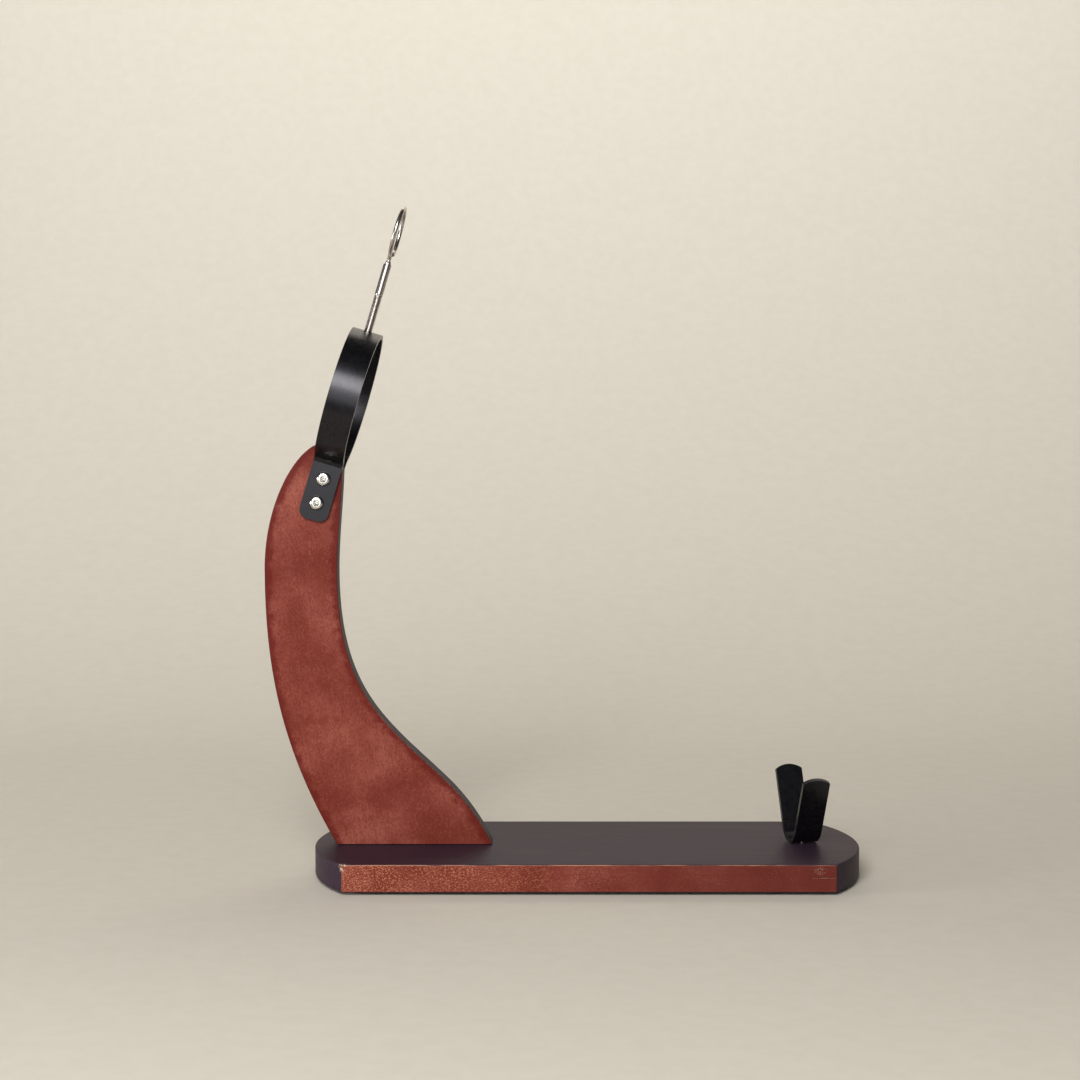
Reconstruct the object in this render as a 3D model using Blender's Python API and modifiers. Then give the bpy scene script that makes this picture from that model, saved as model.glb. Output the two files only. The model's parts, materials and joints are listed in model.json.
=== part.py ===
"""Ham holder stand.

A bowed base board carries a curved plank upright at one end and a steel cradle at the other.  A steel
hoop, bolted through the upright's head and leaning over the board, holds a ring-headed clamp screw.
Units are metres and +Z is up.  The stand rests on Z = 0, and the middle of its outline is on the Z axis.
"""

import math

import bmesh
import bpy
from mathutils import Vector
from mathutils.geometry import interpolate_bezier

# Clearance between pieces that touch
GAP = 0.0003

# Base board
BASE_LENGTH = 0.398
BASE_WIDTH = 0.155
BASE_THICKNESS = 0.020
BASE_END_BOW = 0.0255
BASE_CENTRE_X = 0.0175
FOOT_HEIGHT = 0.0020
FOOT_RADIUS = 0.0090
FOOT_INSET_X = 0.0360
FOOT_INSET_Y = 0.0180
BASE_BOTTOM = FOOT_HEIGHT + GAP
BASE_TOP = BASE_BOTTOM + BASE_THICKNESS
BOARD_EDGE_ROUND = 0.0010

# Upright, a plank cut to a curved outline that stands on the base
PLANK_THICKNESS = 0.020
PLANK_BOTTOM = BASE_TOP + GAP
UPRIGHT_SCREW_X = (-0.1600, -0.1270, -0.0940)
UPRIGHT_DOWEL_X = (-0.1435, -0.1105)
DOWEL_RADIUS = 0.0040
DOWEL_HALF_LENGTH = 0.0140
WOOD_SCREW_RADIUS = 0.0025
WOOD_SCREW_LENGTH = 0.050
WOOD_SCREW_HEAD_RADIUS = 0.0047
WOOD_SCREW_HEAD_DEPTH = 0.0035

# Hoop, a bent steel strap.  Its frame has Z along the clamp screw, zero on top of the arch.
STEEL_THICKNESS = 0.003
LEAN = math.radians(16.6)
ARCH_TOP = (BASE_CENTRE_X - 0.1588, 0.0, BASE_TOP + 0.3740)
HOOP_WIDTH = 0.0216
HOOP_RADIUS = 0.0480
HOOP_BEND_RADIUS = 0.0060
TAB_END = -0.1420
TAB_CORNER_RADIUS = 0.0070
TAB_OFFSET = PLANK_THICKNESS / 2 + GAP + STEEL_THICKNESS / 2
TAB_OUTER_FACE = TAB_OFFSET + STEEL_THICKNESS / 2

# M6 fasteners
M6_RADIUS = 0.0030
M6_BORE_RADIUS = M6_RADIUS + GAP
M6_NUT_ACROSS_FLATS = 0.010
M6_NUT_HEIGHT = 0.005
M6_WASHER_RADIUS = 0.0060
M6_WASHER_THICKNESS = 0.0016
BUTTON_HEAD_RADIUS = 0.00525
BUTTON_HEAD_HEIGHT = 0.0033
HEX_SOCKET_ACROSS_FLATS = 0.0040
HEX_SOCKET_DEPTH = 0.0020
STRAP_BOLT_LENGTH = 0.035
STRAP_BOLT_Z = (-0.1111, -0.1291)

# Clamp screw, along the hoop frame's Z
ROD_TOP = 0.0511
ROD_BOTTOM = -0.0240
SPIKE_LENGTH = 0.0100
RING_WIRE_RADIUS = 0.0015
RING_RADIUS = 0.01725
RING_CENTRE = 0.0749
RING_START = math.radians(-72)
RING_END = math.radians(262)
RING_STEPS = 36
RING_NECK_HEIGHT = 0.0030
RING_END_OFFSET = 0.0014

# Cradle, a bent steel strap on a spiked stud that it can swivel around
CRADLE_X = BASE_CENTRE_X + 0.1580
CRADLE_YAW = math.radians(12.0)
CRADLE_WIDTH = 0.0200
CRADLE_RADIUS = 0.0155
CRADLE_FLARE = math.radians(24.5)
CRADLE_HEIGHT = 0.0518
CRADLE_END_BOW = 0.0033
SPIKE_COLLAR_RADIUS = 0.0060
SPIKE_COLLAR_HEIGHT = 0.0030
CRADLE_SPIKE_RISE = 0.0200
NUT_POCKET_RADIUS = 0.0090
NUT_POCKET_DEPTH = 0.0085


def clear_scene():
    for obj in list(bpy.data.objects):
        bpy.data.objects.remove(obj, do_unlink=True)


def new_collection(name):
    group = bpy.data.collections.new(name)
    bpy.context.scene.collection.children.link(group)
    return group


def new_material(name, colour, roughness, metallic):
    made = bpy.data.materials.new(name)
    made.use_nodes = True
    shader = made.node_tree.nodes["Principled BSDF"]
    shader.inputs["Base Color"].default_value = (*colour, 1.0)
    shader.inputs["Roughness"].default_value = roughness
    shader.inputs["Metallic"].default_value = metallic
    made.diffuse_color = (*colour, 1.0)
    return made


clear_scene()
STAND = new_collection("ham_holder_stand")
CUTTERS = new_collection("cutters")

MAHOGANY = new_material("mahogany_stained_wood", (0.19, 0.050, 0.032), 0.45, 0.0)
BEECH = new_material("beech_dowel", (0.62, 0.42, 0.24), 0.6, 0.0)
BLACK_STEEL = new_material("black_painted_steel", (0.012, 0.012, 0.014), 0.35, 0.0)
BRIGHT_STEEL = new_material("bright_steel", (0.62, 0.61, 0.60), 0.25, 1.0)
BLACK_RUBBER = new_material("black_rubber", (0.015, 0.015, 0.015), 0.8, 0.0)


def arc(centre, radius, start, end, steps):
    """Points along an arc, angles in degrees, both ends included."""
    angles = [math.radians(start + (end - start) * i / steps) for i in range(steps + 1)]
    return [(centre[0] + radius * math.cos(a), centre[1] + radius * math.sin(a)) for a in angles]


def curve_drop(radius, reach):
    """How far a round surface falls away at a distance from its top."""
    return radius - math.sqrt(radius**2 - reach**2)


def place(obj, material, location=(0, 0, 0), rotation=(0, 0, 0), parent=None, group=None):
    obj.data.materials.clear()
    obj.data.materials.append(material)
    obj.location = location
    obj.rotation_euler = rotation
    obj.parent = parent
    (group or STAND).objects.link(obj)
    return obj


def smooth(obj, sharp_degrees=35):
    obj.data.shade_smooth()
    obj.data.set_sharp_from_angle(angle=math.radians(sharp_degrees))
    return obj


def mesh_object(name, shape):
    mesh = bpy.data.meshes.new(name)
    shape.to_mesh(mesh)
    shape.free()
    return bpy.data.objects.new(name, mesh)


def prism(name, radius, low, high, segments=32):
    """An upright cylinder, or a hexagonal bar with six segments, between two heights."""
    shape = bmesh.new()
    bmesh.ops.create_cone(shape, cap_ends=True, segments=segments, radius1=radius, radius2=radius,
                          depth=high - low)
    bmesh.ops.translate(shape, verts=shape.verts, vec=(0, 0, (low + high) / 2))
    return mesh_object(name, shape)


def turned(name, profile, steps=32, ring=False):
    """A turned solid.  The profile is (radius, height) points from the top down the outer side."""
    shape = bmesh.new()
    points = [shape.verts.new((radius, 0, height)) for radius, height in profile]
    following = points[1:] + points[:1] if ring else points[1:]
    for first, second in zip(points, following):
        shape.edges.new((first, second))
    obj = mesh_object(name, shape)
    screw = obj.modifiers.new("Turn", "SCREW")
    screw.steps = screw.render_steps = steps
    screw.use_merge_vertices = True
    screw.merge_threshold = 0.00001
    return obj


def outline_plate(name, outline, thickness):
    """A flat plate from a closed outline of (x, y) points, as a mesh centred on its own XY plane."""
    curve = bpy.data.curves.new(name, "CURVE")
    curve.dimensions = "2D"
    curve.fill_mode = "BOTH"
    curve.extrude = thickness / 2
    spline = curve.splines.new("POLY")
    spline.points.add(len(outline) - 1)
    for point, (x, y) in zip(spline.points, outline):
        point.co = (x, y, 0, 1)
    spline.use_cyclic_u = True
    guide = bpy.data.objects.new(name + "_outline", curve)
    CUTTERS.objects.link(guide)
    evaluated = guide.evaluated_get(bpy.context.evaluated_depsgraph_get())
    mesh = bpy.data.meshes.new_from_object(evaluated)
    bpy.data.objects.remove(guide)
    shape = bmesh.new()
    shape.from_mesh(mesh)
    bmesh.ops.remove_doubles(shape, verts=shape.verts, dist=0.00001)
    bmesh.ops.dissolve_limit(shape, angle_limit=math.radians(0.1), verts=shape.verts, edges=shape.edges)
    shape.to_mesh(mesh)
    shape.free()
    return bpy.data.objects.new(name, mesh)


def round_edges(obj, width, segments=2):
    bevel = obj.modifiers.new("Rounded edges", "BEVEL")
    bevel.width = width
    bevel.segments = segments
    bevel.limit_method = "ANGLE"
    bevel.angle_limit = math.radians(40)


def cut(obj, cutter, location=(0, 0, 0), rotation=(0, 0, 0), parent=None):
    """Cuts a shape, placed in the parent's frame, out of a piece."""
    place(cutter, obj.data.materials[0], location, rotation, parent, CUTTERS)
    cutter.hide_render = True
    cutter.display_type = "WIRE"
    boolean = obj.modifiers.new(cutter.name, "BOOLEAN")
    boolean.operation = "DIFFERENCE"
    boolean.solver = "EXACT"
    boolean.object = cutter


def frame_empty(name, location, rotation):
    empty = bpy.data.objects.new(name, None)
    empty.location = location
    empty.rotation_euler = rotation
    STAND.objects.link(empty)
    return empty


FACING_FRONT = (math.radians(90), 0, 0)
HOOP_FRAME = frame_empty("hoop_frame", ARCH_TOP, (0, LEAN, 0))
SCREW_AXIS = frame_empty("clamp_screw_axis", ARCH_TOP, (0, LEAN, 0))
CRADLE_AXIS = frame_empty("cradle_axis", (CRADLE_X, 0, BASE_TOP + GAP), (0, 0, CRADLE_YAW))


def wood_screw_profile(clearance):
    """A countersunk screw, head down at height 0, its tip up; a clearance makes its hole."""
    head, shank = WOOD_SCREW_HEAD_RADIUS + clearance, WOOD_SCREW_RADIUS + clearance
    below = 0.001 if clearance else 0.0
    return [(0, WOOD_SCREW_LENGTH + clearance), (shank * 0.4, WOOD_SCREW_LENGTH - 0.004 + clearance),
            (shank, WOOD_SCREW_LENGTH - 0.008 + clearance), (shank, WOOD_SCREW_HEAD_DEPTH),
            (head, 0.0006), (head, -below), (0, -below)]


def base_board():
    half_width, half_length = BASE_WIDTH / 2, BASE_LENGTH / 2
    end_radius = (half_width**2 + BASE_END_BOW**2) / (2 * BASE_END_BOW)
    end_angle = math.degrees(math.asin(half_width / end_radius))
    centre_x = half_length - end_radius
    right = arc((centre_x, 0), end_radius, -end_angle, end_angle, 16)
    left = [(-x, -y) for x, y in right]

    board = outline_plate("base_board", right + left, BASE_THICKNESS)
    place(board, MAHOGANY, (BASE_CENTRE_X, 0, BASE_BOTTOM + BASE_THICKNESS / 2))
    round_edges(board, BOARD_EDGE_ROUND)
    for number, x in enumerate(UPRIGHT_SCREW_X, 1):
        hole = turned(f"base_screw_hole_{number}", wood_screw_profile(GAP), 24)
        cut(board, hole, (BASE_CENTRE_X + x, 0, BASE_BOTTOM + GAP))
    for number, x in enumerate(UPRIGHT_DOWEL_X, 1):
        hole = prism(f"base_dowel_hole_{number}", DOWEL_RADIUS + GAP, -DOWEL_HALF_LENGTH - GAP, 0.002, 24)
        cut(board, hole, (BASE_CENTRE_X + x, 0, BASE_TOP))
    stud_hole = prism("base_stud_hole", M6_BORE_RADIUS, -0.001, BASE_THICKNESS + 0.001, 24)
    cut(board, stud_hole, (CRADLE_X, 0, BASE_BOTTOM))
    nut_pocket = prism("base_nut_pocket", NUT_POCKET_RADIUS, -0.001, NUT_POCKET_DEPTH)
    cut(board, nut_pocket, (CRADLE_X, 0, BASE_BOTTOM))


# Knots of the upright's outline, anticlockwise from the toe of its foot: x and height from the middle of
# the base's top, then the heading and handle length going in, and the heading and handle length going out.
UPRIGHT_KNOTS = (
    (-0.0692, 0.0000, 0, 0, 116, 0.0310),
    (-0.1032, 0.0470, 136, 0.0050, 136, 0.0600),
    (-0.1814, 0.1995, 90, 0.0900, 90, 0.0250),
    (-0.1772, 0.2749, 88, 0.0250, 143, 0.0060),
    (-0.1973, 0.2915, 146, 0.0060, 208, 0.0200),
    (-0.2340, 0.2010, 270, 0.0440, 270, 0.0690),
    (-0.1827, 0.0000, 300, 0.0830, 0, 0),
)
UPRIGHT_SEGMENT_STEPS = 11


def heading_vector(degrees, length):
    return Vector((length * math.cos(math.radians(degrees)), length * math.sin(math.radians(degrees))))


def upright_outline():
    """Bezier stretches from knot to knot, closed by the straight foot."""
    points = []
    for knot, following in zip(UPRIGHT_KNOTS, UPRIGHT_KNOTS[1:]):
        start, end = Vector(knot[:2]), Vector(following[:2])
        leave = start + heading_vector(*knot[4:6])
        arrive = end - heading_vector(*following[2:4])
        points += interpolate_bezier(start, leave, arrive, end, UPRIGHT_SEGMENT_STEPS)[:-1]
    return [tuple(point) for point in points] + [UPRIGHT_KNOTS[-1][:2]]


def upright():
    plank = outline_plate("upright", upright_outline(), PLANK_THICKNESS)
    place(plank, MAHOGANY, (BASE_CENTRE_X, 0, PLANK_BOTTOM), FACING_FRONT)
    round_edges(plank, BOARD_EDGE_ROUND)
    for number, z in enumerate(STRAP_BOLT_Z, 1):
        hole = prism(f"upright_bolt_hole_{number}", M6_BORE_RADIUS, -PLANK_THICKNESS, PLANK_THICKNESS, 24)
        cut(plank, hole, (0, 0, z), FACING_FRONT, HOOP_FRAME)
    for number, x in enumerate(UPRIGHT_SCREW_X, 1):
        hole = turned(f"upright_screw_hole_{number}", wood_screw_profile(GAP), 24)
        cut(plank, hole, (BASE_CENTRE_X + x, 0, BASE_BOTTOM + GAP))
    for number, x in enumerate(UPRIGHT_DOWEL_X, 1):
        hole = prism(f"upright_dowel_hole_{number}", DOWEL_RADIUS + GAP, -0.002, DOWEL_HALF_LENGTH + GAP, 24)
        cut(plank, hole, (BASE_CENTRE_X + x, 0, PLANK_BOTTOM))


def upright_fixings():
    for number, x in enumerate(UPRIGHT_SCREW_X, 1):
        screw = turned(f"upright_screw_{number}", wood_screw_profile(0), 24)
        place(smooth(screw), BRIGHT_STEEL, (BASE_CENTRE_X + x, 0, BASE_BOTTOM + GAP))
    for number, x in enumerate(UPRIGHT_DOWEL_X, 1):
        dowel = prism(f"upright_dowel_{number}", DOWEL_RADIUS, -DOWEL_HALF_LENGTH, DOWEL_HALF_LENGTH, 24)
        place(smooth(dowel), BEECH, (BASE_CENTRE_X + x, 0, BASE_TOP))


def rubber_feet():
    for end, side_x in (("left", -1), ("right", 1)):
        for face, side_y in (("front", -1), ("back", 1)):
            foot = prism(f"rubber_foot_{end}_{face}", FOOT_RADIUS, 0, FOOT_HEIGHT, 32)
            x = BASE_CENTRE_X + side_x * (BASE_LENGTH / 2 - FOOT_INSET_X)
            place(smooth(foot), BLACK_RUBBER, (x, side_y * (BASE_WIDTH / 2 - FOOT_INSET_Y), 0))


def bent_strap(name, half_rows):
    """A steel strap from the rows of its +Y half: (y, z, half width), from its end to its middle."""
    mirrored = [(-y, z, half_width) for y, z, half_width in reversed(half_rows[:-1])]
    shape = bmesh.new()
    rows = [
        (shape.verts.new((-half_width, y, z)), shape.verts.new((half_width, y, z)))
        for y, z, half_width in half_rows + mirrored
    ]
    for (left, right), (next_left, next_right) in zip(rows, rows[1:]):
        shape.faces.new((left, right, next_right, next_left))
    strap = mesh_object(name, shape)
    shell = strap.modifiers.new("Steel thickness", "SOLIDIFY")
    shell.thickness = STEEL_THICKNESS
    shell.offset = 0
    shell.use_even_offset = True
    return strap


def clamp_strap():
    half_width = HOOP_WIDTH / 2
    ring_centre = -STEEL_THICKNESS / 2 - HOOP_RADIUS
    bend_y = TAB_OFFSET + HOOP_BEND_RADIUS
    rise = math.sqrt((HOOP_RADIUS + HOOP_BEND_RADIUS) ** 2 - bend_y**2)
    bend_z = ring_centre - rise
    meeting = math.degrees(math.atan2(rise, -bend_y))

    corner = arc((0, TAB_CORNER_RADIUS), TAB_CORNER_RADIUS, -90, 0, 5)
    rows = [(TAB_OFFSET, TAB_END + rise_up, half_width - TAB_CORNER_RADIUS + reach)
            for reach, rise_up in corner]
    rows += [(y, z, half_width) for y, z in arc((bend_y, bend_z), HOOP_BEND_RADIUS, 180, meeting, 5)]
    rows += [(y, z, half_width)
             for y, z in arc((0, ring_centre), HOOP_RADIUS, meeting - 180, 90, 24)[1:]]

    strap = bent_strap("clamp_strap", rows)
    place(strap, BLACK_STEEL, parent=HOOP_FRAME)
    cut(strap, prism("strap_screw_hole", M6_BORE_RADIUS, -0.01, 0.01, 24), parent=HOOP_FRAME)
    for number, z in enumerate(STRAP_BOLT_Z, 1):
        hole = prism(f"strap_bolt_hole_{number}", M6_BORE_RADIUS, -0.03, 0.03, 24)
        cut(strap, hole, (0, 0, z), FACING_FRONT, HOOP_FRAME)


def hex_nut(name, top, parent, location=(0, 0, 0), rotation=(0, 0, 0)):
    nut = prism(name, M6_NUT_ACROSS_FLATS / math.sqrt(3), top - M6_NUT_HEIGHT, top, 6)
    place(nut, BRIGHT_STEEL, location, rotation, parent)
    round_edges(nut, 0.0003, 1)
    bore = prism(name + "_bore", M6_BORE_RADIUS, top - 0.01, top + 0.01, 24)
    cut(nut, bore, location, rotation, parent)


def washer(name, top, parent, location=(0, 0, 0), rotation=(0, 0, 0)):
    bottom = top - M6_WASHER_THICKNESS
    section = [(M6_WASHER_RADIUS, top), (M6_WASHER_RADIUS, bottom), (M6_BORE_RADIUS, bottom),
               (M6_BORE_RADIUS, top)]
    place(smooth(turned(name, section, ring=True)), BRIGHT_STEEL, location, rotation, parent)


def weld_nut():
    """The nut under the top of the arch, which the clamp screw runs in."""
    drop = curve_drop(HOOP_RADIUS - STEEL_THICKNESS / 2, M6_NUT_ACROSS_FLATS / math.sqrt(3))
    hex_nut("weld_nut", -STEEL_THICKNESS - drop - GAP, HOOP_FRAME)


def strap_bolts():
    """M6 button-head bolts through both tabs and the upright, with a washer and a nut behind."""
    head_base = TAB_OUTER_FACE + GAP
    head_top = head_base + BUTTON_HEAD_HEIGHT
    dome = [(BUTTON_HEAD_RADIUS * math.sin(math.radians(a)),
             head_base + BUTTON_HEAD_HEIGHT * (0.15 + 0.85 * math.cos(math.radians(a))))
            for a in range(30, 91, 12)]
    profile = [(0, head_top - 0.0003), *dome, (BUTTON_HEAD_RADIUS, head_base), (M6_RADIUS, head_base),
               (M6_RADIUS, head_base - STRAP_BOLT_LENGTH), (0, head_base - STRAP_BOLT_LENGTH)]
    for place_name, z in zip(("upper", "lower"), STRAP_BOLT_Z):
        bolt = turned(f"strap_bolt_{place_name}", profile)
        place(smooth(bolt), BRIGHT_STEEL, (0, 0, z), FACING_FRONT, HOOP_FRAME)
        socket = prism(f"bolt_socket_{place_name}", HEX_SOCKET_ACROSS_FLATS / math.sqrt(3),
                       head_top - HEX_SOCKET_DEPTH, head_top + 0.001, 6)
        cut(bolt, socket, (0, 0, z), FACING_FRONT, HOOP_FRAME)
        washer(f"strap_washer_{place_name}", -head_base, HOOP_FRAME, (0, 0, z), FACING_FRONT)
        nut_face = -head_base - M6_WASHER_THICKNESS - GAP
        hex_nut(f"strap_nut_{place_name}", nut_face, HOOP_FRAME, (0, 0, z), FACING_FRONT)


def clamp_screw():
    """The threaded rod and its pointed tip, on the clamp screw's axis."""
    end_round = [(side, ROD_TOP - M6_RADIUS + up) for side, up in arc((0, 0), M6_RADIUS, 90, 0, 5)]
    profile = [*end_round, (M6_RADIUS, ROD_BOTTOM), (0, ROD_BOTTOM)]
    place(smooth(turned("clamp_screw_rod", profile)), BRIGHT_STEEL, parent=SCREW_AXIS)

    tip_top = ROD_BOTTOM - GAP
    tip = turned("clamp_screw_tip", [(0, tip_top), (M6_RADIUS, tip_top), (M6_RADIUS, tip_top - 0.001),
                                     (0, tip_top - SPIKE_LENGTH)])
    place(smooth(tip), BRIGHT_STEEL, parent=SCREW_AXIS)


def ring_handle():
    """One turn of round wire that rises from the rod's end and closes beside its own start."""
    turn = []
    for step in range(RING_STEPS + 1):
        share = step / RING_STEPS
        angle = RING_START + (RING_END - RING_START) * share
        turn.append((RING_END_OFFSET * share**2, -RING_RADIUS * math.cos(angle),
                     RING_CENTRE + RING_RADIUS * math.sin(angle)))
    neck_low = Vector((0, 0, ROD_TOP + GAP))
    neck_high = Vector((0, 0, ROD_TOP + RING_NECK_HEIGHT))
    first = Vector(turn[0])
    bend = [neck_low, neck_high, neck_high.lerp(first, 0.45) + Vector((0, 0.0004, -0.0002))]
    points = bend + [Vector(point) for point in turn]

    curve = bpy.data.curves.new("ring_handle", "CURVE")
    curve.dimensions = "3D"
    curve.bevel_depth = RING_WIRE_RADIUS
    curve.bevel_resolution = 2
    curve.use_fill_caps = True
    spline = curve.splines.new("POLY")
    spline.points.add(len(points) - 1)
    for control, point in zip(spline.points, points):
        control.co = (*point, 1)
    place(bpy.data.objects.new("ring_handle", curve), BRIGHT_STEEL, parent=SCREW_AXIS)


def cradle_strap():
    """The U that holds the ham's lower side, in the cradle axis's frame, where Z = 0 is its underside."""
    half_width = CRADLE_WIDTH / 2
    bottom_centre = STEEL_THICKNESS / 2 + CRADLE_RADIUS
    end_radius = (half_width**2 + CRADLE_END_BOW**2) / (2 * CRADLE_END_BOW)
    reach = math.degrees(math.asin(half_width / end_radius))
    end_arc = [(end_radius * math.sin(math.radians(reach * share)),
                end_radius * (1 - math.cos(math.radians(reach * share))))
               for share in (0.12, 0.4, 0.7, 1.0)]
    foot_y = CRADLE_RADIUS * math.cos(CRADLE_FLARE)
    foot_z = bottom_centre - CRADLE_RADIUS * math.sin(CRADLE_FLARE)
    rows = []
    for reach_out, drop in end_arc:
        z = CRADLE_HEIGHT - drop * math.cos(CRADLE_FLARE)
        rows.append((foot_y + (z - foot_z) * math.tan(CRADLE_FLARE), z, reach_out))
    flare = math.degrees(CRADLE_FLARE)
    rows += [(y, z, half_width) for y, z in arc((0, bottom_centre), CRADLE_RADIUS, -flare, -90, 10)]
    strap = bent_strap("cradle_strap", rows)
    place(strap, BLACK_STEEL, parent=CRADLE_AXIS)
    cut(strap, prism("cradle_stud_hole", M6_BORE_RADIUS, -0.002, 0.008, 24), parent=CRADLE_AXIS)


def cradle_fixings():
    """A spiked stud through the cradle and the base, with its washer and nut in a pocket below."""
    inner_radius = CRADLE_RADIUS - STEEL_THICKNESS / 2
    collar_low = STEEL_THICKNESS + curve_drop(inner_radius, SPIKE_COLLAR_RADIUS) + GAP
    collar_high = collar_low + SPIKE_COLLAR_HEIGHT
    stud_low = -(BASE_TOP - BASE_BOTTOM) + 0.0010
    profile = [(0, collar_high + CRADLE_SPIKE_RISE), (M6_RADIUS, collar_high + CRADLE_SPIKE_RISE - 0.010),
               (M6_RADIUS, collar_high), (SPIKE_COLLAR_RADIUS - 0.0006, collar_high),
               (SPIKE_COLLAR_RADIUS, collar_high - 0.0006), (SPIKE_COLLAR_RADIUS, collar_low),
               (M6_RADIUS, collar_low), (M6_RADIUS, stud_low), (0, stud_low)]
    place(smooth(turned("cradle_spike", profile)), BRIGHT_STEEL, parent=CRADLE_AXIS)
    pocket_roof = -(BASE_THICKNESS - NUT_POCKET_DEPTH) - GAP
    washer("cradle_washer", pocket_roof - GAP, CRADLE_AXIS)
    hex_nut("cradle_nut", pocket_roof - 2 * GAP - M6_WASHER_THICKNESS, CRADLE_AXIS)


base_board()
upright()
upright_fixings()
rubber_feet()
clamp_strap()
weld_nut()
strap_bolts()
clamp_screw()
ring_handle()
cradle_strap()
cradle_fixings()
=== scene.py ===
import json
import math

import bmesh
import bpy
from mathutils import Matrix, Vector, noise
from mathutils.geometry import interpolate_bezier


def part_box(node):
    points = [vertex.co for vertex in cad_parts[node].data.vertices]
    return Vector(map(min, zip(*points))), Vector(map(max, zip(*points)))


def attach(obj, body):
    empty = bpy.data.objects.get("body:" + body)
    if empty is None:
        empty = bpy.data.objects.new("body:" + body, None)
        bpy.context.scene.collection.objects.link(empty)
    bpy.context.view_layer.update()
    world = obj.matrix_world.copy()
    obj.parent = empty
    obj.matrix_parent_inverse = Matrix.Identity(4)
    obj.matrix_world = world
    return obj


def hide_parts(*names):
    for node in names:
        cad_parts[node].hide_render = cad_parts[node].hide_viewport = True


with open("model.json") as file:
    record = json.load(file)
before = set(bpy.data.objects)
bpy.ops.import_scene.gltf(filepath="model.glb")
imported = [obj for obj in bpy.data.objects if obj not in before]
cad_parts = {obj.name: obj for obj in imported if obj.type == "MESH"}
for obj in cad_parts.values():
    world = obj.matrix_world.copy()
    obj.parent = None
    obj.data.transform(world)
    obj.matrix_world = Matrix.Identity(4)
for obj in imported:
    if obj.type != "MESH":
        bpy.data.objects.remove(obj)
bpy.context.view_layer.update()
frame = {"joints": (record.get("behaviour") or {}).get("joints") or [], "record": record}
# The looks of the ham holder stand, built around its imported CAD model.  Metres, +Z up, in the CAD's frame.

JOINTS = {joint["name"]: joint for joint in frame["joints"]}
BODY_OF = {node: body for body, nodes in frame["record"]["behaviour"]["bodies"].items() for node in nodes}

# Base board, with the sizes of the CAD part
BASE_LOW, BASE_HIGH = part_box("base_board")
BASE_BOTTOM = BASE_LOW.z
BASE_TOP = BASE_HIGH.z
BASE_THICKNESS = BASE_TOP - BASE_BOTTOM
BASE_CENTRE_X = (BASE_LOW.x + BASE_HIGH.x) / 2
BASE_LENGTH = BASE_HIGH.x - BASE_LOW.x
BASE_WIDTH = BASE_HIGH.y - BASE_LOW.y
BASE_END_BOW = 0.0255
BASE_CORNER_X = BASE_LENGTH / 2 - BASE_END_BOW
BASE_EDGE_ROUND = 0.0012

# Upright and its fixings
GAP = 0.0003
PLANK_THICKNESS = 0.020
PLANK_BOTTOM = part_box("upright")[0].z
UPRIGHT_EDGE_ROUND = 0.0016
UPRIGHT_SCREW_X = (-0.1600, -0.1270, -0.0940)
UPRIGHT_DOWEL_X = (-0.1435, -0.1105)
WOOD_SCREW_RADIUS = 0.0025
WOOD_SCREW_LENGTH = 0.050
WOOD_SCREW_HEAD_RADIUS = 0.0047
WOOD_SCREW_HEAD_DEPTH = 0.0035
WOOD_SCREW_HEAD_RIM = 0.0006
DOWEL_RADIUS = 0.0040
DOWEL_HALF_LENGTH = 0.0140

# Hoop strap.  Its frame has Z along the clamp screw, zero on top of the arch.
STEEL_THICKNESS = 0.003
STEEL_EDGE_ROUND = 0.0005
HOOP_WIDTH = 0.0216
HOOP_RADIUS = 0.0480
HOOP_INNER_RADIUS = HOOP_RADIUS - STEEL_THICKNESS / 2
HOOP_BEND_RADIUS = 0.0060
TAB_END = -0.1420
TAB_CORNER_RADIUS = 0.0070
TAB_OFFSET = PLANK_THICKNESS / 2 + GAP + STEEL_THICKNESS / 2
TAB_OUTER_FACE = TAB_OFFSET + STEEL_THICKNESS / 2
STRAP_BOLT_Z = {"upper": -0.1111, "lower": -0.1291}

# M6 fasteners
M6_RADIUS = 0.0030
M6_BORE_RADIUS = M6_RADIUS + GAP
M6_PITCH = 0.0010
M6_NUT_ACROSS_FLATS = 0.010
M6_NUT_CORNER = M6_NUT_ACROSS_FLATS / math.sqrt(3)
M6_NUT_HEIGHT = 0.005
M6_WASHER_RADIUS = 0.0060
M6_WASHER_THICKNESS = 0.0016
BUTTON_HEAD_RADIUS = 0.00525
BUTTON_HEAD_HEIGHT = 0.0033
HEX_SOCKET_ACROSS_FLATS = 0.0040
HEX_SOCKET_DEPTH = 0.0020
HEX_SOCKET_CONE = 0.0017
STRAP_BOLT_LENGTH = 0.035
STRAP_BOLT_THREAD = 0.017

# Clamp screw
ROD_TOP = 0.0511
ROD_BOTTOM = -0.0240
ROD_THREAD_TOP = 0.0280
ROD_END_ROUND = 0.0016
SPIKE_LENGTH = 0.0100
TIP_RELIEF = 0.0006
RING_WIRE_RADIUS = 0.0015
RING_RADIUS = 0.01725
RING_CENTRE = 0.0749
RING_END_OFFSET = 0.0014

# Cradle.  Its frame has Z along the stud, zero on the strap's underside.
CRADLE_YAW = math.radians(12.0)
CRADLE_WIDTH = 0.0200
CRADLE_RADIUS = 0.0155
CRADLE_FLARE = math.radians(24.5)
CRADLE_HEIGHT = 0.0518
CRADLE_END_BOW = 0.0033
SPIKE_COLLAR_RADIUS = 0.0060
SPIKE_COLLAR_HEIGHT = 0.0030
CRADLE_SPIKE_RISE = 0.0200
STUD_RECESS = 0.0013
STUD_THREAD = 0.013
NUT_POCKET_RADIUS = 0.0090
NUT_POCKET_DEPTH = 0.0085

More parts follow.
